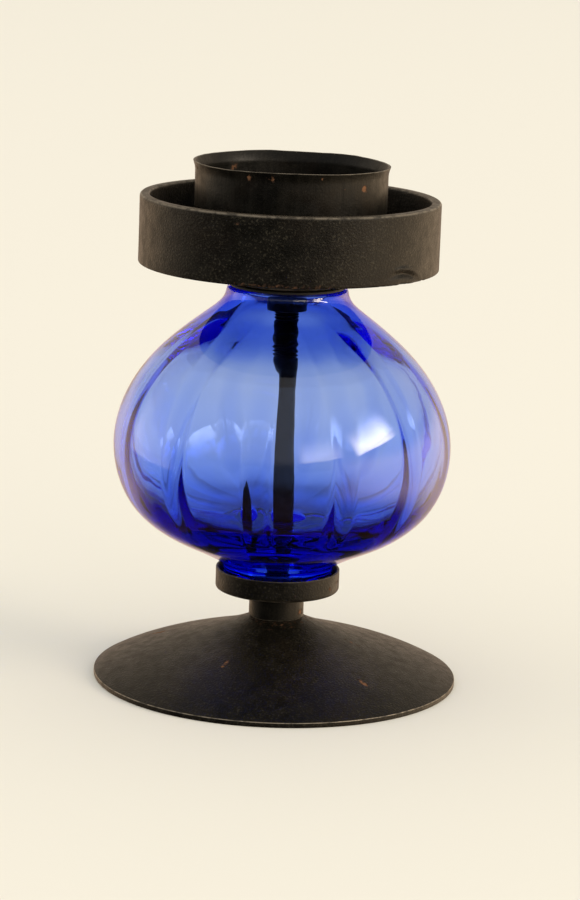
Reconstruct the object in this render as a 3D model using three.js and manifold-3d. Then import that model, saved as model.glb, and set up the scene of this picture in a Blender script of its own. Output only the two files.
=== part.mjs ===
// A glass candlestick: a blown, ribbed glass bulb held between two iron collars by a threaded tie
// rod, on a spun iron foot, with a drip tray and a candle cup on top.
// Millimetres, +Z up. The origin is the centre of the foot's rim, on the table.

import * as THREE from "three";
import { mergeVertices } from "three/addons/utils/BufferGeometryUtils.js";
import Module from "manifold-3d";

// ---- Driving dimensions ----

const GAP = 0.3; // left between pieces that touch
const SEGMENTS = 48; // facets round the axis on a wide piece
const NARROW_SEGMENTS = 24; // and on a narrow one
const ROUNDING_STEPS = 2; // facets in a rounded edge

const ROD_RADIUS = 3.5; // M7, with a pitch of 1 mm
const BORE_RADIUS = ROD_RADIUS + GAP; // every hole that the rod passes
const ROD_LENGTH = 103.8;
const ROD_BASE = 8;

const FOOT_RADIUS = 51.2;
const FOOT_HEIGHT = 17.5;
const FOOT_SHEET = 1.5;
const FOOT_EDGE = 1.4; // height of the upright edge of the rim
const FOOT_CROWN_RADIUS = 8; // the flat that carries the stem
const FOOT_BULGE = 0.1; // how far the cone swells, as a share of its height
const FOOT_OGEE = 0.4; // how far it is steeper at the rim and at the crown than halfway

const STEM_RADIUS = 7.8;
const STEM_LENGTH = 7.6;

const LOWER_COLLAR = { radius: 17.5, height: 6, wall: 1.2 };
const LOWER_SEAL = { radius: 15.6, hole: 6.5, height: 1.3 };
const UPPER_SEAL = { radius: 16.2, hole: 12.5, height: 0.8 };

const GLASS_HEIGHT = 82.9;
const GLASS_HOLE_RADIUS = 7; // through the thick bottom
const GLASS_STEPS = 20; // facets along the bulb's outline
const GLASS_THIN_WALL = 1.8; // at the belly
const GLASS_BOTTOM_EXTRA = 9; // what the gather adds at the bottom
const GLASS_NECK_EXTRA = 3.8; // what the neck adds at the top
const GLASS_NECK_START = 0.70; // the share of the way up where the wall thickens towards the neck
const GLASS_NECK_END = 1.0;
const RIBS = 12;
const RIB_DEPTH = 1.2;
const RIB_TURN = -8.7; // degrees from straight ahead to the first rib

const UPPER_COLLAR = { radius: 16.4, height: 4.5, bossRadius: 5.6, bossLength: 9.3 };
const TRAY = { radius: 41.7, height: 19.1, wall: 2.8, floor: 2.8 };
const CUP = { radius: 26.7, height: 25.6, wall: 1.2, floor: 1.2, lipRadius: 27.45, lipHeight: 2.8 };

const SCREW = { headRadius: 6.3, shankRadius: 3.4, length: 9.7, slotWidth: 1.6, slotDepth: 1.3 };
const SCREW_SUNK = 0.1; // how far the head lies below the cup's floor
const COUNTERSINK_MARGIN = 0.4; // how much wider the countersink is than the screw's cone

const NUT = { acrossFlats: 11, height: 5, cornerChamfer: 0.5 };
const WASHER = { radius: 7, height: 1.2 };

// ---- Heights above the table, from the foot up ----

const stemBase = FOOT_HEIGHT + GAP;
const lowerCollarBase = stemBase + STEM_LENGTH + GAP;
const lowerSealBase = lowerCollarBase + LOWER_COLLAR.wall + GAP;
const glassBase = lowerSealBase + LOWER_SEAL.height + GAP;
const upperSealBase = glassBase + GLASS_HEIGHT + GAP;
const upperCollarBase = upperSealBase + UPPER_SEAL.height + GAP;
const trayBase = upperCollarBase + UPPER_COLLAR.height + GAP;
const cupBase = trayBase + TRAY.floor + GAP;
const cupFloor = cupBase + CUP.floor;
const screwTop = cupFloor - SCREW_SUNK;
const washerBase = FOOT_HEIGHT - FOOT_SHEET - GAP - WASHER.height;
const footNutBase = washerBase - GAP - NUT.height;

// ---- Materials ----

const blackIron = new THREE.MeshStandardMaterial({ color: 0x1d1b19, roughness: 0.62, metalness: 0.6 });
const darkSteel = new THREE.MeshStandardMaterial({ color: 0x2a2a2b, roughness: 0.45, metalness: 0.9 });
const brightSteel = new THREE.MeshStandardMaterial({ color: 0x8b8d90, roughness: 0.4, metalness: 1 });
const blueGlass = new THREE.MeshStandardMaterial({
  color: 0x2a46c8,
  roughness: 0.05,
  metalness: 0,
  transparent: true,
  opacity: 0.45,
});
const blackRubber = new THREE.MeshStandardMaterial({ color: 0x141414, roughness: 0.9, metalness: 0 });

// ---- Solids ----

const wasm = await Module();
wasm.setup();

// A closed outline of [radius, height, rounding] corners, in order round the section: up the outer
// side, inwards over the top and down the inner side. A corner with a rounding is drawn as a curve.
function outline(corners) {
  const points = [];
  corners.forEach(([radius, height, rounding = 0], i) => {
    const corner = new THREE.Vector2(radius, height);
    if (rounding === 0) {
      points.push(corner);
      return;
    }
    const [start, end] = [corners.at(i - 1), corners[(i + 1) % corners.length]].map(([r, z]) =>
      new THREE.Vector2(r, z).sub(corner).setLength(rounding).add(corner),
    );
    points.push(...new THREE.QuadraticBezierCurve(start, corner, end).getPoints(ROUNDING_STEPS));
  });
  points.push(points[0].clone());
  return points;
}

// The solid that a closed outline makes when it is turned round the +Z axis.
function turned(corners, segments = SEGMENTS) {
  return new THREE.LatheGeometry(outline(corners), segments).rotateX(Math.PI / 2);
}

function toSolid(geometry) {
  const bare = geometry.clone();
  bare.deleteAttribute("normal");
  bare.deleteAttribute("uv");
  const merged = mergeVertices(bare, 1e-3);
  return new wasm.Manifold(
    new wasm.Mesh({
      numProp: 3,
      vertProperties: merged.attributes.position.array,
      triVerts: new Uint32Array(merged.index.array),
    }),
  );
}

function toGeometry(solid) {
  const mesh = solid.getMesh();
  const geometry = new THREE.BufferGeometry();
  geometry.setAttribute("position", new THREE.BufferAttribute(mesh.vertProperties, 3));
  geometry.setIndex(new THREE.BufferAttribute(mesh.triVerts, 1));
  geometry.computeVertexNormals();
  return geometry;
}

// A plain ring, its lower face at height 0.
function ring(radius, hole, height, segments) {
  const corners = [
    [radius, 0],
    [radius, height],
    [hole, height],
    [hole, 0],
  ];
  return turned(corners, segments);
}

// ---- The foot and what it carries ----

// Height of the foot's upper face at a radius: a cone drawn out into an ogee.
function footTop(radius) {
  const inward = (FOOT_RADIUS - radius) / (FOOT_RADIUS - FOOT_CROWN_RADIUS);
  const ogee = inward * (1 - inward) * (FOOT_BULGE + FOOT_OGEE * (1 - 2 * inward));
  return FOOT_EDGE + (FOOT_HEIGHT - FOOT_EDGE) * (inward + ogee);
}

// Spun from one sheet: the underside follows the upper face, and the rim rests on a flat edge.
function footGeometry() {
  const steps = 8;
  const upper = [];
  const under = [];
  for (let i = 1; i <= steps; i += 1) {
    const radius = FOOT_RADIUS - ((FOOT_RADIUS - FOOT_CROWN_RADIUS) * i) / steps;
    upper.push([radius, footTop(radius)]);
    under.unshift([radius, footTop(radius) - FOOT_SHEET]);
  }
  return turned([
    [FOOT_RADIUS, 0],
    [FOOT_RADIUS, FOOT_EDGE, 0.5],
    ...upper,
    [BORE_RADIUS, FOOT_HEIGHT],
    [BORE_RADIUS, FOOT_HEIGHT - FOOT_SHEET],
    ...under,
    [FOOT_RADIUS - FOOT_SHEET, 0],
  ]);
}

function stemGeometry() {
  return ring(STEM_RADIUS, BORE_RADIUS, STEM_LENGTH, NARROW_SEGMENTS);
}

// A shallow dish that the glass stands in.
function lowerCollarGeometry() {
  const { radius, height, wall } = LOWER_COLLAR;
  return turned([
    [radius, 0, 1.3],
    [radius, height, 0.3],
    [radius - wall, height],
    [radius - wall, wall],
    [BORE_RADIUS, wall],
    [BORE_RADIUS, 0],
  ]);
}

function tieRodGeometry() {
  const chamfer = 0.6;
  const corners = [
    [0, 0],
    [ROD_RADIUS - chamfer, 0],
    [ROD_RADIUS, chamfer],
    [ROD_RADIUS, ROD_LENGTH - chamfer],
    [ROD_RADIUS - chamfer, ROD_LENGTH],
    [0, ROD_LENGTH],
  ];
  return turned(corners, NARROW_SEGMENTS);
}

function washerGeometry() {
  return ring(WASHER.radius, BORE_RADIUS, WASHER.height, NARROW_SEGMENTS);
}

// A flat rubber ring between the glass and a collar.
function sealGeometry({ radius, hole, height }) {
  return ring(radius, hole, height, SEGMENTS);
}

// A hexagon nut: a six-sided prism whose corners are turned down at both faces.
function nutGeometry() {
  const corner = NUT.acrossFlats / Math.sqrt(3);
  const hexagon = new THREE.Shape();
  for (let i = 0; i < 6; i += 1) {
    const angle = (i * Math.PI) / 3;
    hexagon[i === 0 ? "moveTo" : "lineTo"](corner * Math.cos(angle), corner * Math.sin(angle));
  }
  const prism = new THREE.ExtrudeGeometry(hexagon, { depth: NUT.height, bevelEnabled: false });
  const faceRadius = corner - NUT.cornerChamfer;
  const blankRadius = corner + NUT.cornerChamfer;
  const blank = [
    [faceRadius, 0],
    [blankRadius, NUT.cornerChamfer],
    [blankRadius, NUT.height - NUT.cornerChamfer],
    [faceRadius, NUT.height],
    [BORE_RADIUS, NUT.height],
    [BORE_RADIUS, 0],
  ];
  return toGeometry(toSolid(prism).intersect(toSolid(turned(blank, NARROW_SEGMENTS))));
}

// ---- The glass ----

// The bulb's outer line, from the waist above its foot ring to the top of the neck. Heights are
// above the foot ring's lower face.
const bulbLine = new THREE.SplineCurve(
  [
    [14.6, 4.2],
    [18.3, 6.2],
    [24.1, 9.2],
    [30.5, 12.2],
    [41.8, 21.2],
    [47.1, 37.2],
    [43.4, 53.2],
    [32.4, 67.2],
    [21.3, 76.2],
    [17.4, 80.4],
    [16.8, GLASS_HEIGHT],
  ].map(([radius, height]) => new THREE.Vector2(radius, height)),
);

// How thick the wall is at a share of the way from the waist to the neck.
function wallAt(share) {
  const gather = GLASS_BOTTOM_EXTRA * (1 - share) ** 4;
  const neck = GLASS_NECK_EXTRA * THREE.MathUtils.smoothstep(share, GLASS_NECK_START, GLASS_NECK_END);
  return GLASS_THIN_WALL + gather + neck;
}

// How far the ribs stand in at a height: nothing at the bottom and in the neck.
function ribAt(height) {
  return RIB_DEPTH * Math.sin(Math.PI * THREE.MathUtils.clamp(height / GLASS_HEIGHT, 0, 1)) ** 0.7;
}

function glassGeometry() {
  const outer = [];
  const inner = [];
  for (let i = 0; i <= GLASS_STEPS; i += 1) {
    const share = i / GLASS_STEPS;
    const point = bulbLine.getPointAt(share);
    const along = bulbLine.getTangentAt(share);
    const inwards = new THREE.Vector2(-along.y, along.x).setLength(wallAt(share));
    const wall = point.clone().add(inwards);
    outer.push([point.x, point.y]);
    if (wall.x > GLASS_HOLE_RADIUS && wall.y < GLASS_HEIGHT) inner.unshift([wall.x, wall.y]);
  }
  const neckHole = inner[0][0];
  const footRing = 15.4;
  const points = outline([
    [footRing, 0, 0.8],
    [footRing, 2.6, 0.8],
    ...outer,
    [neckHole, GLASS_HEIGHT],
    ...inner,
    [GLASS_HOLE_RADIUS, inner.at(-1)[1] - 1.5],
    [GLASS_HOLE_RADIUS, 0],
  ]);
  const firstInner = points.findIndex((p) => p.x === neckHole && p.y === GLASS_HEIGHT);
  const turn = THREE.MathUtils.degToRad(RIB_TURN);
  const glass = new THREE.LatheGeometry(points, SEGMENTS, turn);
  raiseRibs(glass, points.length, firstInner, inner.length, turn);
  return glass.rotateX(Math.PI / 2);
}

// Pulls the inner face in along evenly spaced ribs. The lathe still turns round +Y here.
function raiseRibs(glass, rowLength, firstInner, innerCount, turn) {
  const position = glass.attributes.position;
  for (let i = 0; i < position.count; i += 1) {
    const row = i % rowLength;
    if (row < firstInner || row > firstInner + innerCount) continue;
    const x = position.getX(i);
    const z = position.getZ(i);
    const radius = Math.hypot(x, z);
    const wave = 0.5 + 0.5 * Math.cos(RIBS * (Math.atan2(x, z) - turn));
    const scale = (radius - ribAt(position.getY(i)) * wave ** 3) / radius;
    position.setX(i, x * scale);
    position.setZ(i, z * scale);
  }
}

// ---- What screws on above the glass ----

// A disc that closes the neck, with a tapped boss that hangs into it.
function upperCollarGeometry() {
  const { radius, height, bossRadius, bossLength } = UPPER_COLLAR;
  return turned([
    [bossRadius, -bossLength],
    [bossRadius, 0],
    [radius, 0, 0.8],
    [radius, height],
    [BORE_RADIUS, height],
    [BORE_RADIUS, -bossLength],
  ]);
}

// Radius of the countersunk hole at a height above the table.
function countersink(height) {
  return SCREW.headRadius + COUNTERSINK_MARGIN - (screwTop - height);
}

function trayGeometry() {
  const { radius, height, wall, floor } = TRAY;
  const mouth = countersink(trayBase + floor);
  return turned([
    [radius, 0, 0.8],
    [radius, height, 0.9],
    [radius - wall, height],
    [radius - wall, floor, 1.5],
    [mouth, floor],
    [BORE_RADIUS, floor - (mouth - BORE_RADIUS)],
    [BORE_RADIUS, 0],
  ]);
}

function cupGeometry() {
  const { radius, height, wall, floor, lipRadius, lipHeight } = CUP;
  return turned([
    [radius, 0, 1],
    [radius, height - lipHeight],
    [lipRadius, height, 0.5],
    [lipRadius - wall, height],
    [radius - wall, height - lipHeight],
    [radius - wall, floor],
    [countersink(cupFloor), floor],
    [countersink(cupBase), 0],
  ]);
}

// A slotted countersunk screw, its head's face at height 0.
function screwGeometry() {
  const { headRadius, shankRadius, length, slotWidth, slotDepth } = SCREW;
  const chamfer = 0.5;
  const blank = [
    [0, -length],
    [shankRadius - chamfer, -length],
    [shankRadius, chamfer - length],
    [shankRadius, shankRadius - headRadius],
    [headRadius, 0],
    [0, 0],
  ];
  const slot = new THREE.BoxGeometry(3 * headRadius, slotWidth, 2 * slotDepth);
  return toGeometry(toSolid(turned(blank, NARROW_SEGMENTS)).subtract(toSolid(slot)));
}

// ---- The assembly ----

function piece(name, geometry, material, height) {
  const mesh = new THREE.Mesh(geometry, material);
  mesh.name = name;
  mesh.position.z = height;
  return mesh;
}

function group(name, ...pieces) {
  const made = new THREE.Group();
  made.name = name;
  made.add(...pieces);
  return made;
}

// Everything that the nuts clamp together: it doesn't move.
const base = group(
  "base",
  piece("foot", footGeometry(), blackIron, 0),
  piece("foot_nut", nutGeometry(), brightSteel, footNutBase),
  piece("foot_washer", washerGeometry(), brightSteel, washerBase),
  piece("stem", stemGeometry(), blackIron, stemBase),
  piece("lower_collar", lowerCollarGeometry(), blackIron, lowerCollarBase),
  piece("collar_lock_nut", nutGeometry(), brightSteel, lowerSealBase),
  piece("lower_seal", sealGeometry(LOWER_SEAL), blackRubber, lowerSealBase),
  piece("tie_rod", tieRodGeometry(), darkSteel, ROD_BASE),
);

const glass = group("glass", piece("glass_bulb", glassGeometry(), blueGlass, glassBase));

const seal = group("seal", piece("upper_seal", sealGeometry(UPPER_SEAL), blackRubber, upperSealBase));

// Everything that unscrews from the rod as one.
const top = group(
  "top",
  piece("upper_collar", upperCollarGeometry(), blackIron, upperCollarBase),
  piece("drip_tray", trayGeometry(), blackIron, trayBase),
  piece("candle_cup", cupGeometry(), blackIron, cupBase),
  piece("cup_screw", screwGeometry(), brightSteel, screwTop),
);

export default group("glass_candlestick", base, glass, seal, top);
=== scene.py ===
"""The looks of a glass candlestick: a ribbed blue glass bulb between black iron fittings.

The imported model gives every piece's place and most outer sizes. Each of its nodes is replaced by a
finer piece turned from its own outline, with soft edges, hand-made unevenness, wear and rust.
Outlines are in millimetres and meshes are in metres. Angles are counted from the front to the right.
"""

import math

import bpy
import numpy as np
from mathutils import Euler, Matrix, Quaternion, Vector, noise


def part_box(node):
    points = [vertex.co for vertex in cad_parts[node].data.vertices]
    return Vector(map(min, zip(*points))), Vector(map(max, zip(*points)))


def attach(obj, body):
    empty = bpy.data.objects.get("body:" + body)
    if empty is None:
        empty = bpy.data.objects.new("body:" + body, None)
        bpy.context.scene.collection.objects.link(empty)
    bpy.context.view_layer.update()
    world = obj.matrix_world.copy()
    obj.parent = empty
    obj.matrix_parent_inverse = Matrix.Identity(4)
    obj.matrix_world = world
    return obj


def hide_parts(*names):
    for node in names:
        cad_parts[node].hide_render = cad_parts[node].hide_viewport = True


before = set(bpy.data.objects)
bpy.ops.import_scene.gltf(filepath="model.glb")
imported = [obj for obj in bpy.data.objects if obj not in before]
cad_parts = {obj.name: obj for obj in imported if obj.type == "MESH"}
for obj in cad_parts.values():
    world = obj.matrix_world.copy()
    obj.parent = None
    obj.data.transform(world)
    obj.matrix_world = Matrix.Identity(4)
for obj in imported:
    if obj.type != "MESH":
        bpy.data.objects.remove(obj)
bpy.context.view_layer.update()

MM = 0.001

# ---- The camera, as the photograph was taken ----

CAMERA_DISTANCE = 0.8684
CAMERA_HEIGHT = 0.2514
CAMERA_PITCH = 0.2108  # radians below the horizon
CAMERA_PAN = 0.0026  # radians to the right
CAMERA_ROLL = 0.0363  # radians: the picture leans to the right
CAMERA_LENS = 126.8  # mm, for a sensor 36 mm wide

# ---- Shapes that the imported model's boxes don't give, in millimetres ----

BORE_RADIUS = 3.8
LOWER_SEAL_HOLE = 9.0
UPPER_SEAL_HOLE = 12.5

FOOT_SHEET = 1.5
FOOT_EDGE = 1.4
FOOT_CROWN_RADIUS = 8.0
FOOT_BULGE = 0.1
FOOT_OGEE = 0.4

COLLAR_WALL = 1.2
COLLAR_RIM = 0.6
UPPER_DISC_HEIGHT = 4.5
BOSS_RADIUS = 5.6

TRAY_WALL = 2.8
TRAY_FLOOR = 2.8
GOUGE_MIDDLE = 50  # degrees
GOUGE_SPAN = 7  # degrees from its middle to where it is about two thirds gone
GOUGE_HEIGHT = 3.1

CUP_WALL = 1.2
CUP_RADIUS = 26.7
CUP_LIP_HEIGHT = 2.8
CUP_THINNING = 0.55  # how much thinner the drawn-out lip is than the wall
CUP_SEAM = math.radians(30.8)

SCREW_HEAD_RADIUS = 6.3
SCREW_SHANK_RADIUS = 3.4
COUNTERSINK_MARGIN = 0.4

GLASS_HOLE_RADIUS = 7.0
GLASS_FOOT_RING = 15.4
GLASS_LINE = [
    (14.6, 4.2),
    (18.3, 6.2),
    (24.1, 9.2),
    (30.5, 12.2),
    (41.8, 21.2),
    (47.1, 37.2),
    (43.4, 53.2),
    (32.4, 67.2),
    (21.3, 76.2),
    (17.4, 80.4),
    (16.8, 82.9),
]
GLASS_THIN_WALL = 1.8
GLASS_BOTTOM_EXTRA = 9.0
GLASS_NECK_EXTRA = 3.8
GLASS_NECK_START = 0.70  # the share of the outer curve where the wall starts to thicken to the neck
GLASS_NECK_END = 1.0
RIBS = 12
RIB_DEPTH = 1.1  # low down; higher up they are shallower
RIB_HALF_WIDTH = 3.6
RIB_WANDER = math.radians(1.2)
RIB_TURN = math.radians(-8.7)

THREAD_PITCH = 1.0
THREAD_DEPTH = 0.55
THREAD_STEP = 0.125  # how far apart the rows of a threaded stretch are

WINDOW_DISTANCE = 12.0  # metres
FLOOR_RADIUS = 8.0  # metres


# ---- Outlines ----


def corner_arc(before, corner, after, radius, steps):
    """Points of the arc of this radius that rounds a corner between its two neighbours."""
    to_before = (before - corner).normalized()
    to_after = (after - corner).normalized()
    half = to_before.angle(to_after) / 2
    reach = radius / math.tan(half)
    reach = min(reach, 0.49 * (before - corner).length, 0.49 * (after - corner).length)
    radius = reach * math.tan(half)
    centre = corner + (to_before + to_after).normalized() * (radius / math.sin(half))
    start = (corner + to_before * reach - centre).normalized()
    end = (corner + to_after * reach - centre).normalized()
    return [centre + radius * start.slerp(end, i / steps) for i in range(steps + 1)]


def rounded(corners, steps=6, longest=None):
    """A closed line through (radius, height, rounding, wear) corners, as (radius, height, wear) points.

    Wear is greatest halfway round an edge. Stretches longer than longest are divided evenly."""
    places = [Vector(c[:2]) for c in corners]
    line = []
    for i, corner in enumerate(corners):
        rounding = corner[2] if len(corner) > 2 else 0
        wear = corner[3] if len(corner) > 3 else 0
        if rounding:
            after = places[(i + 1) % len(places)]
            for k, p in enumerate(corner_arc(places[i - 1], places[i], after, rounding, steps)):
                line.append((p.x, p.y, wear * math.sin(math.pi * k / steps) ** 3))
        else:
            line.append((*places[i], wear))
    if longest is None:
        return line
    divided = []
    for i, (r, z, wear) in enumerate(line):
        r2, z2, wear2 = line[(i + 1) % len(line)]
        parts = max(1, math.ceil(math.hypot(r2 - r, z2 - z) / longest))
        divided.append((r, z, wear))
        for k in range(1, parts):
            share = k / parts
            divided.append((r + (r2 - r) * share, z + (z2 - z) * share, 0))
    return divided


def smooth_curve(points, count):
    """A curve of count points through the given ones: a natural cubic spline along their length."""
    xy = np.array(points, float)
    at = np.concatenate([[0], np.cumsum(np.hypot(*np.diff(xy, axis=0).T))])
    h = np.diff(at)
    n = len(at)
    system = np.eye(n)
    right = np.zeros((n, 2))
    for i in range(1, n - 1):
        system[i, i - 1 : i + 2] = h[i - 1], 2 * (h[i - 1] + h[i]), h[i]
        right[i] = 6 * ((xy[i + 1] - xy[i]) / h[i] - (xy[i] - xy[i - 1]) / h[i - 1])
    bend = np.linalg.solve(system, right)
    curve = []
    for t in np.linspace(0, at[-1], count):
        i = min(np.searchsorted(at, t, side="right") - 1, n - 2)
        a, b, d = at[i + 1] - t, t - at[i], h[i]
        curve.append(
            (bend[i] * a**3 + bend[i + 1] * b**3) / (6 * d)
            + (xy[i] / d - bend[i] * d / 6) * a
            + (xy[i + 1] / d - bend[i + 1] * d / 6) * b
        )
    return np.array(curve)


# ---- Meshes ----


def turned(name, line, segments, base=0.0, shape=None, marks=None):
    """A piece turned round the Z axis from a closed line of (radius, height, wear) in mm.

    shape(angle, radius, height) gives each vertex its new (radius, height), and marks(angle,
    radius, height) its rust. A line that starts and ends on the axis closes on it."""
    solid = line[0][0] < 1e-6
    angles = [2 * math.pi * i / segments for i in range(segments)]
    vertices, wear, rust = [], [], []

    def add(angle, r, z, worn):
        if shape:
            r, z = shape(angle, r, z)
        vertices.append((r * MM * math.sin(angle), -r * MM * math.cos(angle), (base + z) * MM))
        wear.append(worn)
        rust.append(marks(angle, r, z) if marks else 0.0)

    inner = line[1:-1] if solid else line
    rows = len(inner)
    for angle in angles:
        for r, z, worn in inner:
            add(angle, r, z, worn)
    faces = []
    for i in range(segments):
        here, there = i * rows, (i + 1) % segments * rows
        for j in range(rows if not solid else rows - 1):
            k = (j + 1) % rows
            faces.append((here + j, there + j, there + k, here + k))
    if solid:
        low, high = len(vertices), len(vertices) + 1
        add(0, *line[0])
        add(0, *line[-1])
        for i in range(segments):
            here, there = i * rows, (i + 1) % segments * rows
            faces.append((low, there, here))
            faces.append((high, here + rows - 1, there + rows - 1))
    return mesh_piece(name, vertices, faces, wear, rust)


def mesh_piece(name, vertices, faces, wear, rust):
    mesh = bpy.data.meshes.new(name)
    mesh.from_pydata(vertices, [], faces)
    mesh.validate()
    for label, values in (("wear", wear), ("rust", rust)):
        mesh.attributes.new(label, "FLOAT", "POINT").data.foreach_set("value", values)
    mesh.shade_smooth()
    piece = bpy.data.objects.new(name, mesh)
    bpy.context.scene.collection.objects.link(piece)
    return piece


def even_normals(piece):
    """Keeps the shading of wide faces flat beside their small rounded edges."""
    weighted = piece.modifiers.new("even_normals", "WEIGHTED_NORMAL")
    weighted.keep_sharp = True


def fit(piece, node, body, material):
    """Puts a finished piece in its node's place on its body."""
    piece.data.materials.append(material)
    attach(piece, body)
    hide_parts(node)
    return piece


def box_mm(node):
    """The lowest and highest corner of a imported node, in millimetres."""
    low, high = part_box(node)
    return low / MM, high / MM


# ---- Unevenness, dents and marks ----


def bell(distance):
    """One at no distance, falling smoothly to almost nothing by two."""
    return math.exp(-distance * distance)


def smooth_step(low, high, value):
    share = min(1, max(0, (value - low) / (high - low)))
    return share * share * (3 - 2 * share)


def uneven(seed, size, amount):
    """A shape that moves vertices, mostly inwards, by smooth noise of this size and amount in mm."""

    def shape(angle, r, z):
        at = Vector((r * math.sin(angle), r * math.cos(angle), z)) / size
        return r + amount * (noise.noise(at + Vector((seed, 0, 0))) - 0.6), z

    return shape


def together(*shapes):
    """One shape that does all the given ones in turn."""

    def shape(angle, r, z):
        for change in shapes:
            r, z = change(angle, r, z)
        return r, z

    return shape


def signed(angle):
    """The angle as one from minus half a turn to half a turn."""
    return (angle + math.pi) % (2 * math.pi) - math.pi


def spots(*places):
    """Marks at (degrees to the right of the front, height, size in mm, strength) places."""

    def marks(angle, r, z):
        most = 0.0
        for degrees, height, size, strength in places:
            across = signed(angle - math.radians(degrees)) * r
            most = max(most, strength * bell(math.hypot(across, z - height) / size))
        return most

    return marks


# ---- Materials ----


class Shader:
    """A material's node tree, with short calls for the nodes that these materials use."""

    def __init__(self, name):
        self.material = bpy.data.materials.new(name)
        self.material.use_nodes = True
        self.tree = self.material.node_tree
        self.tree.nodes.clear()
        self.out = self.tree.nodes.new("ShaderNodeOutputMaterial")
        self.place = self.node("ShaderNodeTexCoord").outputs["Object"]

    def node(self, kind, settings=None, **values):
        made = self.tree.nodes.new(kind)
        for key, value in (settings or {}).items():
            setattr(made, key, value)
        for key, value in values.items():
            self.put(made.inputs[key.replace("_", " ")], value)
        return made

    def put(self, socket, value):
        if isinstance(value, bpy.types.NodeSocket):
            self.tree.links.new(value, socket)
        else:
            socket.default_value = value

    def noise(self, size, detail=4.0, roughness=0.55, place=None):
        """Smooth noise from 0 to 1 whose features are about size metres across."""
        return self.node(
            "ShaderNodeTexNoise",
            Vector=place or self.place,
            Scale=1 / size,
            Detail=detail,
            Roughness=roughness,
        ).outputs["Fac"]

    def stretched(self, x, y, z):
        """The place with each axis scaled, for noise drawn out along an axis."""
        return self.node("ShaderNodeMapping", Vector=self.place, Scale=(x, y, z)).outputs[0]

    def ramp(self, value, low, high):
        """A number that follows value smoothly from one (value, number) pair to another."""
        return self.node(
            "ShaderNodeMapRange",
            {"interpolation_type": "SMOOTHSTEP"},
            Value=value,
            **{"From Min": low[0], "From Max": high[0], "To Min": low[1], "To Max": high[1]},
        ).outputs["Result"]

    def math(self, operation, a, b=0.0):
        made = self.node("ShaderNodeMath", {"operation": operation})
        self.put(made.inputs[0], a)
        self.put(made.inputs[1], b)
        return made.outputs[0]

    def mix(self, share, a, b):
        made = self.node("ShaderNodeMix", {"data_type": "RGBA"})
        self.put(made.inputs["Factor"], share)
        self.put(made.inputs[6], a)
        self.put(made.inputs[7], b)
        return made.outputs[2]

    def attribute(self, name):
        return self.node("ShaderNodeAttribute", {"attribute_name": name}).outputs["Fac"]

    def bump(self, height, distance, strength=1.0, normal=None):
        made = self.node("ShaderNodeBump", Height=height, Distance=distance, Strength=strength)
        if normal is not None:
            self.put(made.inputs["Normal"], normal)
        return made.outputs["Normal"]

    def principled(self, **values):
        made = self.node("ShaderNodeBsdfPrincipled", **values)
        self.tree.links.new(made.outputs[0], self.out.inputs["Surface"])
        return made


def black_iron(name, speckle=1.0, streaks=0.0, sheen=0.04):
    """Blackened iron: thin dark lacquer with fine pale speckle, brown bloom, bare edges and rust."""
    s = Shader(name)
    mottle = s.noise(0.006, detail=5)
    bloom = s.noise(0.018, detail=3)
    speck = s.noise(0.0006, detail=3, roughness=0.6)
    streak = s.noise(0.0011, detail=3, place=s.stretched(1, 1, 0.06))

    faded = s.math("ADD", s.ramp(mottle, (0.35, 0), (0.7, 0.8)), s.ramp(streak, (0.4, 0), (0.7, streaks)))
    dark = s.mix(faded, (0.0016, 0.0015, 0.0010, 1), (0.0058, 0.0050, 0.0032, 1))
    brown = s.mix(s.ramp(bloom, (0.45, 0), (0.75, 0.7)), dark, (0.0075, 0.0050, 0.0028, 1))
    patches = s.ramp(mottle, (0.3, 0.3), (0.6, 1))
    speck_share = s.math("MULTIPLY", s.ramp(speck, (0.51, 0), (0.74, speckle)), patches)
    speckled = s.mix(speck_share, brown, (0.030, 0.026, 0.017, 1))

    worn_by = s.math("MULTIPLY", s.attribute("wear"), s.ramp(s.noise(0.0025), (0.36, 0.25), (0.58, 1)))
    worn = s.mix(worn_by, speckled, (0.28, 0.24, 0.185, 1))

    ragged = s.math("MULTIPLY", s.math("SUBTRACT", s.noise(0.0013, detail=5), 0.5), 1.3)
    rusty = s.ramp(s.math("ADD", s.attribute("rust"), ragged), (0.46, 0), (0.62, 0.9))
    rust_tone = s.math("ADD", s.noise(0.0008), s.ramp(s.attribute("rust"), (0.48, -0.45), (0.62, 0.15)))
    rust_colour = s.mix(rust_tone, (0.018, 0.009, 0.005, 1), (0.24, 0.11, 0.05, 1))

    roughness = s.ramp(s.noise(0.003, detail=5), (0.3, 0.34), (0.75, 0.50))
    normal = s.bump(speck, 0.0002, 0.6 * speckle + 0.1)
    normal = s.bump(mottle, 0.0003, 0.07, normal)
    normal = s.bump(streak, 0.0001, streaks, normal)
    s.principled(
        **{
            "Base Color": s.mix(rusty, worn, rust_colour),
            "Roughness": s.math("MAXIMUM", roughness, s.math("MULTIPLY", rusty, 0.9)),
            "Metallic": s.math("MULTIPLY", worn_by, 0.7),
            "Specular IOR Level": 0.16,
            "Sheen Weight": sheen,
            "Sheen Roughness": 0.4,
            "Sheen Tint": (1.0, 0.80, 0.58, 1),
            "Normal": normal,
        }
    )
    return s.material


def steel(name, colour, roughness):
    """Machined steel, dulled unevenly, with a fine bumpy surface."""
    s = Shader(name)
    stain = s.noise(0.003, detail=5)
    tone = s.mix(s.ramp(stain, (0.35, 0), (0.7, 1)), colour, tuple(0.55 * c for c in colour[:3]) + (1,))
    marks = s.noise(0.0004, detail=2)
    s.principled(
        **{
            "Base Color": tone,
            "Metallic": 1.0,
            "Roughness": s.ramp(stain, (0.3, roughness - 0.08), (0.75, roughness + 0.15)),
            "Normal": s.bump(marks, 0.00005, 0.6),
        }
    )
    return s.material


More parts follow.
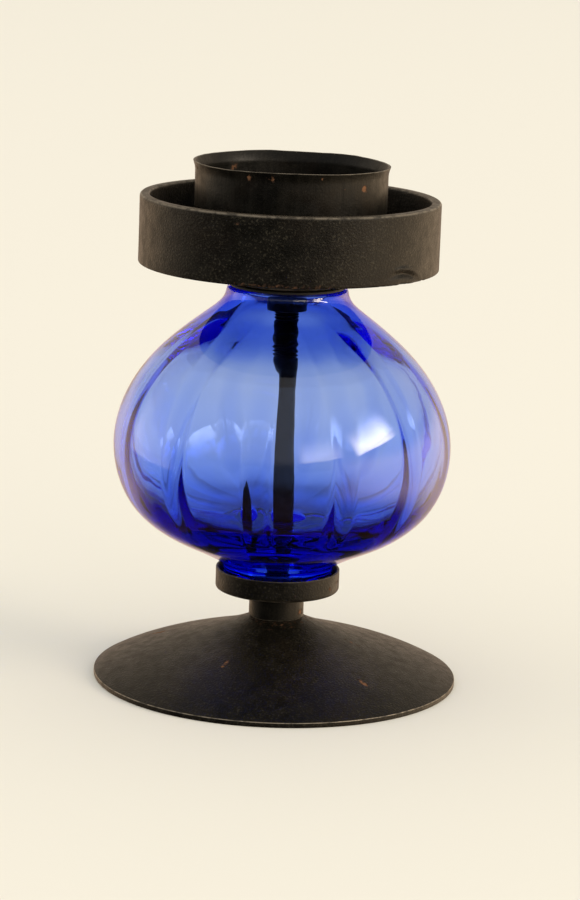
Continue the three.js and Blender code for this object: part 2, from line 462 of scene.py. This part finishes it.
def rubber(name):
    """Matt black rubber with a little pale dust."""
    s = Shader(name)
    dust = s.ramp(s.noise(0.0012, detail=5), (0.5, 0), (0.75, 0.5))
    s.principled(
        **{
            "Base Color": s.mix(dust, (0.012, 0.012, 0.012, 1), (0.06, 0.055, 0.05, 1)),
            "Roughness": s.ramp(dust, (0, 0.7), (0.5, 0.95)),
            "Normal": s.bump(s.noise(0.0005), 0.0001, 0.5),
        }
    )
    return s.material


def cobalt_glass(name):
    """Clear blown glass that takes up red and green along its thickness."""
    s = Shader(name)
    waviness = s.noise(0.012, detail=2)
    s.principled(
        **{
            "Base Color": (0.97, 0.98, 1.0, 1),
            "Roughness": 0.0,
            "IOR": 1.5,
            "Transmission Weight": 1.0,
            "Normal": s.bump(waviness, 0.0003, 0.25),
        }
    )
    absorb = s.node("ShaderNodeVolumeAbsorption", Color=(0.0, 0.32, 0.952, 1), Density=272.0)
    s.tree.links.new(absorb.outputs[0], s.out.inputs["Volume"])
    return s.material


# ---- The foot and what it carries ----


def foot_top(r, rim, crown_height):
    """The height of the foot's upper face at a radius: a straight cone bent into a slight ogee."""
    inward = (rim - r) / (rim - FOOT_CROWN_RADIUS)
    ogee = inward * (1 - inward) * (FOOT_BULGE + FOOT_OGEE * (1 - 2 * inward))
    return FOOT_EDGE + (crown_height - FOOT_EDGE) * (inward + ogee)


def make_foot(material):
    low, high = box_mm("foot")
    rim, top = high.x, high.z
    steps = 70
    upper, under = [], []
    for i in range(1, steps + 1):
        r = rim - (rim - FOOT_CROWN_RADIUS) * i / steps
        z = foot_top(r, rim, top)
        upper.append((r, z))
        under.insert(0, (r, z - FOOT_SHEET))
    line = rounded(
        [(rim, 0, 0.3), (rim, FOOT_EDGE, 0.4, 1)]
        + upper
        + [(BORE_RADIUS, top, 0.2), (BORE_RADIUS, top - FOOT_SHEET, 0.2)]
        + under
        + [(rim - FOOT_SHEET, 0.0, 0.3)]
    )
    stains = spots(
        (-28, 10, 1.2, 0.7),
        (40, 7, 1.4, 0.7),
        (75, 12, 1.6, 0.6),
        (-110, 8, 2, 0.7),
        (170, 11, 2, 0.7),
    )

    def marks(angle, r, z):
        residue = 0.44 * smooth_step(13.5, 9.5, r)
        return max(residue, stains(angle, r, z))

    piece = turned("foot_shell", line, 256, 0.0, uneven(3, 20, 0.03), marks)
    return fit(piece, "foot", "base", material)


def make_stem(material):
    low, high = box_mm("stem")
    r, height = high.x, high.z - low.z
    corners = [(r, 0, 0.4, 0.4), (r, height, 0.4, 0.4), (BORE_RADIUS, height, 0.2), (BORE_RADIUS, 0, 0.2)]
    line = rounded(corners, longest=0.5)
    marks = spots((60, 2, 2.2, 0.6), (-65, 5, 2.0, 0.5), (150, 3, 3, 0.6), (-20, 0, 1.5, 0.5))
    piece = turned("stem_spacer", line, 128, low.z, uneven(5, 6, 0.08), marks)
    even_normals(piece)
    return fit(piece, "stem", "base", material)


def make_lower_collar(material):
    low, high = box_mm("lower_collar")
    r, height = high.x, high.z - low.z
    corners = [
        (r, 0, 0.9, 0.1),
        (r, height, 0.2, 0.6),
        (r - COLLAR_RIM, height, 0.2, 0.3),
        (r - COLLAR_WALL, height - 2, 0.5),
        (r - COLLAR_WALL, COLLAR_WALL, 0.6),
        (BORE_RADIUS, COLLAR_WALL, 0.2),
        (BORE_RADIUS, 0, 0.2),
    ]
    line = rounded(corners, longest=0.5)
    marks = spots(
        (58, 2.4, 2.2, 0.55),
        (75, 3.5, 2, 0.5),
        (17, 2.0, 0.8, 0.55),
        (-60, 2, 1.5, 0.45),
        (160, 2.5, 3, 0.5),
    )
    piece = turned("collar_dish", line, 256, low.z, uneven(7, 8, 0.08), marks)
    even_normals(piece)
    return fit(piece, "lower_collar", "base", material)


def make_ring(node, name, hole, rounding, body, material):
    low, high = box_mm(node)
    r, height = high.x, high.z - low.z
    corners = [(r, 0, rounding), (r, height, rounding), (hole, height, rounding), (hole, 0, rounding)]
    piece = turned(name, rounded(corners, 4), 128, low.z, uneven(11, 5, 0.04))
    even_normals(piece)
    return fit(piece, node, body, material)


def thread_shape(low, high):
    """Cuts a thread of the usual pitch into a rod between the heights low and high."""

    def shape(angle, r, z):
        if r < 1:
            return r, z
        phase = (z / THREAD_PITCH - angle / (2 * math.pi)) % 1
        groove = THREAD_DEPTH * (1 - abs(2 * phase - 1))
        fade = min(1, max(0, (z - low) / 0.8), max(0, (high - z) / 0.8))
        return r - groove * fade, z

    return shape


def make_tie_rod(material):
    low, high = box_mm("tie_rod")
    r, length = high.x, high.z - low.z
    bottom_thread, top_thread = 26, 16
    line = [(0, 0, 0), (r - 0.6, 0, 0), (r, 0.6, 0)]
    z = 0.6
    while z < length - 0.7:
        threaded = z < bottom_thread or z > length - top_thread
        z += THREAD_STEP if threaded else 1.0
        line.append((r, min(z, length - 0.6), 0))
    line += [(r - 0.6, length, 0), (0, length, 0)]

    def shape(angle, radius, height):
        if height < bottom_thread:
            return thread_shape(-5, bottom_thread)(angle, radius, height)
        return thread_shape(length - top_thread, length + 5)(angle, radius, height)

    piece = turned("tie_rod_threaded", line, 48, low.z, shape)
    return fit(piece, "tie_rod", "base", material)


def make_nut(node, name, body, material):
    """A hexagon nut: the blank's outline is pulled in to six flats, and the corners stay turned down."""
    low, high = box_mm(node)
    corner, height = high.x, high.z - low.z
    flat = corner * math.cos(math.pi / 6)
    line = rounded(
        [
            (corner - 0.5, 0, 0.2),
            (corner + 0.4, 0.55, 0.1),
            (corner + 0.4, height - 0.55, 0.1),
            (corner - 0.5, height, 0.2),
            (BORE_RADIUS + 0.6, height, 0.1),
            (BORE_RADIUS, height - 0.6, 0.1),
            (BORE_RADIUS, 0.6, 0.1),
            (BORE_RADIUS + 0.6, 0, 0.1),
        ],
        3,
    )

    def shape(angle, r, z):
        from_flat = (angle + math.pi / 6) % (math.pi / 3) - math.pi / 6
        return min(r, flat / math.cos(from_flat)), z

    piece = turned(name, line, 144, low.z, shape)
    even_normals(piece)
    return fit(piece, node, body, material)


# ---- The glass ----


def wall_at(share):
    """How thick the wall is at a share of the way along the outer curve, from the waist to the neck."""
    gather = GLASS_BOTTOM_EXTRA * (1 - share) ** 4
    return GLASS_THIN_WALL + gather + GLASS_NECK_EXTRA * smooth_step(GLASS_NECK_START, GLASS_NECK_END, share)


def rib_at(angle, r, up):
    """How far the ribs stand in, at a place and a share of the bulb's height."""
    spacing = 2 * math.pi / RIBS
    wander = RIB_WANDER * math.sin(3 * angle + 2 * up)
    from_rib = (angle - RIB_TURN - wander + spacing / 2) % spacing - spacing / 2
    depth = RIB_DEPTH * (1 - 0.42 * smooth_step(0.32, 0.5, up)) * math.sin(math.pi * min(1, up + 0.1)) ** 0.6
    return depth * max(0, 1 - (from_rib * r / RIB_HALF_WIDTH) ** 2)


def make_glass(material):
    low, high = box_mm("glass_bulb")
    height = high.z - low.z
    count = 100
    outer = smooth_curve(GLASS_LINE, count)
    along = np.gradient(outer, axis=0)
    inwards = np.stack([-along[:, 1], along[:, 0]], axis=1)
    inwards /= np.linalg.norm(inwards, axis=1)[:, None]
    walls = np.array([wall_at(i / (count - 1)) for i in range(count)])
    inner = outer + inwards * walls[:, None]
    inner = [tuple(p) for p in inner[::-1] if p[0] > GLASS_HOLE_RADIUS + 0.6 and p[1] < height - 1.2]
    neck_hole = inner[0][0]
    start = [(GLASS_HOLE_RADIUS, 0, 0.8), (GLASS_FOOT_RING, 0, 1.1), (GLASS_FOOT_RING, 2.9, 1.0)]
    middle = [tuple(p) for p in outer[1:-1]]
    rim = [(outer[-1][0], height, 0.6), (neck_hole, height, 0.8)]
    end = inner + [(GLASS_HOLE_RADIUS, inner[-1][1] - 0.8, 1.2)]
    line = rounded(start + middle + rim + end, 5)

    def shape(angle, r, z):
        """Ribs stand in on the inner face, and both faces are a little uneven, away from their ends."""
        up = min(max(z / height, 0), 1)
        fade = math.sin(math.pi * up) ** 0.4
        at = Vector((r * math.sin(angle), r * math.cos(angle), z))
        inside = r < np.interp(z, outer[:, 1], outer[:, 0]) - 1.2
        if inside:
            clear_of_floor = smooth_step(12, 26, r + 40 * smooth_step(0.4, 0.5, up))
            return r - clear_of_floor * rib_at(angle, r, up) - 0.2 * fade * noise.noise(at / 12), z
        return r + fade * 0.08 * noise.noise(at / 16), z

    piece = turned("glass_bulb_blown", line, 400, low.z, shape)
    return fit(piece, "glass_bulb", "glass", material)


# ---- What screws on above the glass ----


def make_upper_collar(material):
    low, high = box_mm("upper_collar")
    r, top = high.x, high.z - low.z
    under = top - UPPER_DISC_HEIGHT
    corners = [
        (BOSS_RADIUS, 0, 0.4, 0.5),
        (BOSS_RADIUS, under, 0.5),
        (r, under, 1.0, 0.3),
        (r, top, 0.3),
        (BORE_RADIUS, top, 0.2),
        (BORE_RADIUS, 0, 0.3),
    ]
    piece = turned("collar_disc", rounded(corners, longest=0.6), 160, low.z, uneven(13, 8, 0.06))
    even_normals(piece)
    return fit(piece, "upper_collar", "top", material)


def countersink(height, screw_top):
    """The radius, at a height, of the hole that the cup screw's conical head sits in."""
    return SCREW_HEAD_RADIUS + COUNTERSINK_MARGIN - (screw_top - height)


def gouge_place(angle, z):
    """How far along the tray's gouge a place is, in spans, and how far above its line in mm."""
    across = (math.degrees(signed(angle)) - GOUGE_MIDDLE) / GOUGE_SPAN
    return across, z - (GOUGE_HEIGHT - 0.9 * across - 0.9 * across * across)


def tray_gouge(angle, r, z):
    """A gouge low on the right of the tray's side, with a burr over it and a chipped edge below."""
    across, over = gouge_place(angle, z)
    if abs(across) > 2.5 or r < 41 or z > 8:
        return r, z
    groove = 1.0 * bell((over + 0.3) / 0.7) * bell(across)
    burr = 0.8 * bell((over - 0.9) / 0.5) * bell((across + 0.2) / 0.6)
    chip = max(0, noise.noise(Vector((angle * 35, 3, 0)))) * smooth_step(2.2, 0, z) * bell(across / 1.3)
    return r - groove + burr - 1.3 * chip, z + 1.3 * chip


def make_tray(material):
    low, high = box_mm("drip_tray")
    r, height = high.x, high.z - low.z
    mouth = countersink(low.z + TRAY_FLOOR, box_mm("cup_screw")[1].z)
    corners = [
        (r, 0, 0.5),
        (r, height, 0.8, 0.6),
        (r - TRAY_WALL, height, 0.7, 0.5),
        (r - TRAY_WALL, TRAY_FLOOR, 1.5),
        (mouth, TRAY_FLOOR, 0.1),
        (BORE_RADIUS, TRAY_FLOOR - mouth + BORE_RADIUS, 0.1),
        (BORE_RADIUS, 0, 0.1),
    ]
    stains = spots((-20, 16.5, 1.5, 0.5), (-100, 6, 2.5, 0.6), (130, 4, 3, 0.6), (-165, 12, 2, 0.5))

    def marks(angle, radius, z):
        edge = 0.52 * smooth_step(3.4, 0.2, z) * (0.3 + 0.7 * bell(signed(angle) / 0.6))
        across, over = gouge_place(angle, z)
        crack = 0.55 * bell((over + 0.2) / 0.5) * bell(across)
        return max(max(edge, crack) if radius > r - 1.5 else 0, stains(angle, radius, z))

    line = rounded(corners, longest=0.55)
    piece = turned("drip_tray_dish", line, 384, low.z, together(uneven(17, 16, 0.14), tray_gouge), marks)
    even_normals(piece)
    return fit(piece, "drip_tray", "top", material)


def make_cup(material):
    """A rolled sheet cup: a faint weld seam down its side, and a lip drawn out by hand."""
    low, high = box_mm("candle_cup")
    lip, height = high.x, high.z - low.z
    screw_top = box_mm("cup_screw")[1].z
    neck = height - CUP_LIP_HEIGHT
    flare = []
    for share in np.linspace(0.15, 0.9, 6):
        spread = (lip - CUP_RADIUS) * share**1.7
        flare.append((CUP_RADIUS + spread, neck + CUP_LIP_HEIGHT * share, CUP_WALL - CUP_THINNING * share))
    corners = [
        (CUP_RADIUS, 0, 1),
        (CUP_RADIUS, neck),
        *[(r, z) for r, z, _ in flare],
        (lip, height, 0.25, 0.8),
        (lip - CUP_WALL + CUP_THINNING, height, 0.25, 0.3),
        *[(r - wall, z) for r, z, wall in reversed(flare)],
        (CUP_RADIUS - CUP_WALL, neck),
        (CUP_RADIUS - CUP_WALL, CUP_WALL, 0.8),
        (countersink(low.z + CUP_WALL, screw_top), CUP_WALL, 0.1),
        (countersink(low.z, screw_top), 0, 0.1),
    ]

    def hand_made(angle, r, z):
        seam = 0.09 * bell(signed(angle - CUP_SEAM) * CUP_RADIUS / 0.45) * smooth_step(neck + 1, neck - 2, z)
        circle = Vector((math.sin(angle), math.cos(angle), 0))
        lift = 0.30 * noise.noise(1.6 * circle) + 0.08 * noise.noise(7 * circle) - 0.2
        return (r - seam if r > CUP_RADIUS - 0.5 else r), z + lift * smooth_step(neck - 2, height, z)

    marks = spots(
        (-11.3, 24.0, 1.9, 0.62),
        (-25.3, 23.8, 1.6, 0.62),
        (17.9, 24.2, 0.7, 0.66),
        (47.6, 21.0, 1.6, 0.74),
        (32.7, 21.2, 0.5, 0.80),
        (115, 19, 2.0, 0.60),
        (-140, 21, 2.4, 0.60),
        (-75, 24, 1.2, 0.60),
    )
    line = rounded(corners, longest=0.5)
    piece = turned("candle_cup_shell", line, 384, low.z, together(uneven(19, 22, 0.16), hand_made), marks)
    even_normals(piece)
    return fit(piece, "candle_cup", "top", material)


def make_screw(material):
    low, high = box_mm("cup_screw")
    length = high.z - low.z
    cone = length - (SCREW_HEAD_RADIUS - SCREW_SHANK_RADIUS)
    shank = [(SCREW_SHANK_RADIUS, z, 0) for z in np.arange(0.5, cone, THREAD_STEP)]
    head = [(SCREW_SHANK_RADIUS, cone, 0), (SCREW_HEAD_RADIUS, length - 0.15, 0)]
    face = [(SCREW_HEAD_RADIUS - 0.15, length, 0)]
    face += [(SCREW_HEAD_RADIUS * k / 20, length, 0) for k in range(19, 0, -1)]
    line = [(0, 0, 0), (SCREW_SHANK_RADIUS - 0.5, 0, 0), *shank, *head, *face, (0, length, 0)]
    thread = thread_shape(-5, cone)

    def shape(angle, r, z):
        if z > length - 0.05 and abs(r * math.sin(angle)) < 0.8:
            return r, z - 1.3
        return thread(angle, r, z) if z < cone else (r, z)

    piece = turned("cup_screw_slotted", line, 96, low.z, shape)
    return fit(piece, "cup_screw", "top", material)


# ---- Stage ----


def make_floor():
    """A wide pale floor. Reflections, and what shows through the glass, take the studio's own
    ground in its place."""
    sides = 96
    vertices = [(0, 0, 0)]
    faces = []
    for i in range(sides):
        angle = 2 * math.pi * i / sides
        vertices.append((FLOOR_RADIUS * math.cos(angle), FLOOR_RADIUS * math.sin(angle), 0))
        faces.append((0, i + 1, (i + 1) % sides + 1))
    mesh = bpy.data.meshes.new("floor")
    mesh.from_pydata(vertices, [], faces)
    floor = bpy.data.objects.new("floor", mesh)
    bpy.context.scene.collection.objects.link(floor)
    floor.visible_glossy = False
    floor.visible_transmission = False
    s = Shader("pale_floor")
    s.principled(**{"Base Color": (0.78, 0.76, 0.68, 1), "Roughness": 0.8, "Specular IOR Level": 0.1})
    mesh.materials.append(s.material)


def window(name, azimuth, elevation, width, height, radiance, roll=0):
    """A soft rectangular light, far off, with faded edges. Its direction, its size as seen from the
    glass and its roll are in degrees."""
    turn, rise = math.radians(azimuth), math.radians(elevation)
    direction = Vector((math.sin(turn) * math.cos(rise), -math.cos(turn) * math.cos(rise), math.sin(rise)))
    light = bpy.data.lights.new(name, "AREA")
    light.shape = "RECTANGLE"
    light.size = 2 * WINDOW_DISTANCE * math.tan(math.radians(width) / 2)
    light.size_y = 2 * WINDOW_DISTANCE * math.tan(math.radians(height) / 2)
    light.energy = radiance * math.pi * light.size * light.size_y
    light.color = (1.0, 0.86, 0.68)
    light.use_nodes = True
    tree = light.node_tree
    emission = tree.nodes["Emission"]
    across = tree.nodes.new("ShaderNodeSeparateXYZ")
    tree.links.new(tree.nodes.new("ShaderNodeNewGeometry").outputs["Parametric"], across.inputs[0])
    fades = (("X", 0.0, 0.2), ("X", 1.0, 0.7), ("Y", 1.0, 0.1), ("Y", 0.0, 0.06))
    strength = None
    for axis, dark, full in fades:
        fade = tree.nodes.new("ShaderNodeMapRange")
        fade.interpolation_type = "SMOOTHSTEP"
        fade.inputs["From Min"].default_value = dark
        fade.inputs["From Max"].default_value = full
        tree.links.new(across.outputs[axis], fade.inputs["Value"])
        if strength is None:
            strength = fade.outputs[0]
        else:
            product = tree.nodes.new("ShaderNodeMath")
            product.operation = "MULTIPLY"
            tree.links.new(strength, product.inputs[0])
            tree.links.new(fade.outputs[0], product.inputs[1])
            strength = product.outputs[0]
    tree.links.new(strength, emission.inputs["Strength"])
    lamp = bpy.data.objects.new(name, light)
    lamp.location = direction * WINDOW_DISTANCE + Vector((0, 0, 0.07))
    facing = (-direction).to_track_quat("-Z", "Y")
    lamp.rotation_euler = (facing @ Quaternion((0, 0, 1), math.radians(roll))).to_euler()
    lamp.visible_camera = False
    bpy.context.scene.collection.objects.link(lamp)


def make_light():
    """A pale studio. Reflections see a warm one, whose ground is dark in front, brighter behind and
    brightest on the right. What shows through the glass is a pale wall, with a brown ground far below."""
    world = bpy.data.worlds.new("studio")
    bpy.context.scene.world = world
    world.use_nodes = True
    world.cycles.sampling_method = "NONE"
    tree = world.node_tree
    tree.nodes.clear()

    def node(kind, **settings):
        made = tree.nodes.new(kind)
        for key, value in settings.items():
            setattr(made, key, value)
        return made

    def step(value, low, high):
        made = node("ShaderNodeMapRange", interpolation_type="SMOOTHSTEP")
        made.inputs["From Min"].default_value = low
        made.inputs["From Max"].default_value = high
        tree.links.new(value, made.inputs["Value"])
        return made.outputs["Result"]

    def mix(share, a, b):
        made = node("ShaderNodeMix", data_type="RGBA")
        tree.links.new(share, made.inputs["Factor"])
        for socket, colour in ((made.inputs[6], a), (made.inputs[7], b)):
            if isinstance(colour, tuple):
                socket.default_value = colour
            else:
                tree.links.new(colour, socket)
        return made.outputs[2]

    split = node("ShaderNodeSeparateXYZ")
    tree.links.new(node("ShaderNodeTexCoord").outputs["Generated"], split.inputs[0])
    sideways = node("ShaderNodeMath", operation="ABSOLUTE")
    tree.links.new(split.outputs["X"], sideways.inputs[0])
    beside = step(sideways.outputs[0], 0.25, 0.75)
    right = step(split.outputs["X"], 0.4, 0.95)
    behind = step(split.outputs["Y"], 0.0, 0.75)
    above = step(split.outputs["Z"], 0.0, 0.2)
    sky = mix(behind, (1.0, 0.98, 0.95, 1), (1.0, 0.96, 0.88, 1))
    far_ground = mix(beside, (0.85, 0.62, 0.45, 1), (1.7, 1.2, 0.75, 1))
    ground = mix(right, mix(behind, (0.06, 0.045, 0.03, 1), far_ground), (2.9, 2.15, 1.38, 1))
    high = mix(behind, (0.60, 0.58, 0.55, 1), mix(right, (0.80, 0.66, 0.50, 1), (1.2, 0.95, 0.68, 1)))
    far_below = step(split.outputs["Z"], -0.36, -0.66)
    mirrored = mix(far_below, mix(above, ground, high), (0.12, 0.06, 0.035, 1))
    seen_through = mix(far_below, (0.98, 0.92, 0.80, 1), (0.32, 0.19, 0.12, 1))
    path = node("ShaderNodeLightPath")
    colour = mix(path.outputs["Is Glossy Ray"], sky, mirrored)
    colour = mix(path.outputs["Is Transmission Ray"], colour, seen_through)
    background = node("ShaderNodeBackground")
    tree.links.new(colour, background.inputs["Color"])
    tree.links.new(background.outputs[0], node("ShaderNodeOutputWorld").inputs["Surface"])

    window("window_right", 67, 24, 40, 24, 16, 14)
    window("window_front", 27, 18, 34, 22, 4.0, 6)
    window("window_left", -98, 14, 56, 52, 1.6, -6)


def make_camera():
    data = bpy.data.cameras.new("camera")
    data.lens = CAMERA_LENS
    data.sensor_width = 36
    data.clip_start, data.clip_end = 0.01, 50
    camera = bpy.data.objects.new("camera", data)
    camera.location = (0, -CAMERA_DISTANCE, CAMERA_HEIGHT)
    turn = Euler((math.pi / 2 - CAMERA_PITCH, 0, -CAMERA_PAN)).to_matrix()
    roll = Euler((0, 0, CAMERA_ROLL)).to_matrix()
    camera.rotation_euler = (turn @ roll).to_euler()
    bpy.context.scene.collection.objects.link(camera)
    bpy.context.scene.camera = camera


def make_object():
    iron = black_iron("black_iron")
    smooth_iron = black_iron("black_iron_smooth", speckle=0.25, streaks=0.5, sheen=0.02)
    bright = steel("bright_steel", (0.42, 0.42, 0.43, 1), 0.38)
    dark = steel("dark_steel", (0.012, 0.012, 0.013, 1), 0.5)
    soft = rubber("black_rubber")
    make_foot(iron)
    make_stem(smooth_iron)
    make_lower_collar(iron)
    make_ring("foot_washer", "foot_washer_plain", BORE_RADIUS, 0.15, "base", bright)
    make_ring("lower_seal", "lower_seal_ring", LOWER_SEAL_HOLE, 0.25, "base", soft)
    make_nut("foot_nut", "foot_nut_hex", "base", bright)
    make_nut("collar_lock_nut", "collar_lock_nut_hex", "base", bright)
    make_tie_rod(dark)
    make_glass(cobalt_glass("cobalt_glass"))
    make_ring("upper_seal", "upper_seal_ring", UPPER_SEAL_HOLE, 0.25, "seal", soft)
    make_upper_collar(smooth_iron)
    make_tray(iron)
    make_cup(smooth_iron)
    make_screw(bright)


make_camera()
make_floor()
make_light()
make_object()

scene = bpy.context.scene
scene.view_settings.view_transform = "Standard"
scene.cycles.max_bounces = 32
scene.cycles.transmission_bounces = 32
scene.cycles.glossy_bounces = 32  # light is also led along inside the glass wall
scene.cycles.transparent_max_bounces = 16
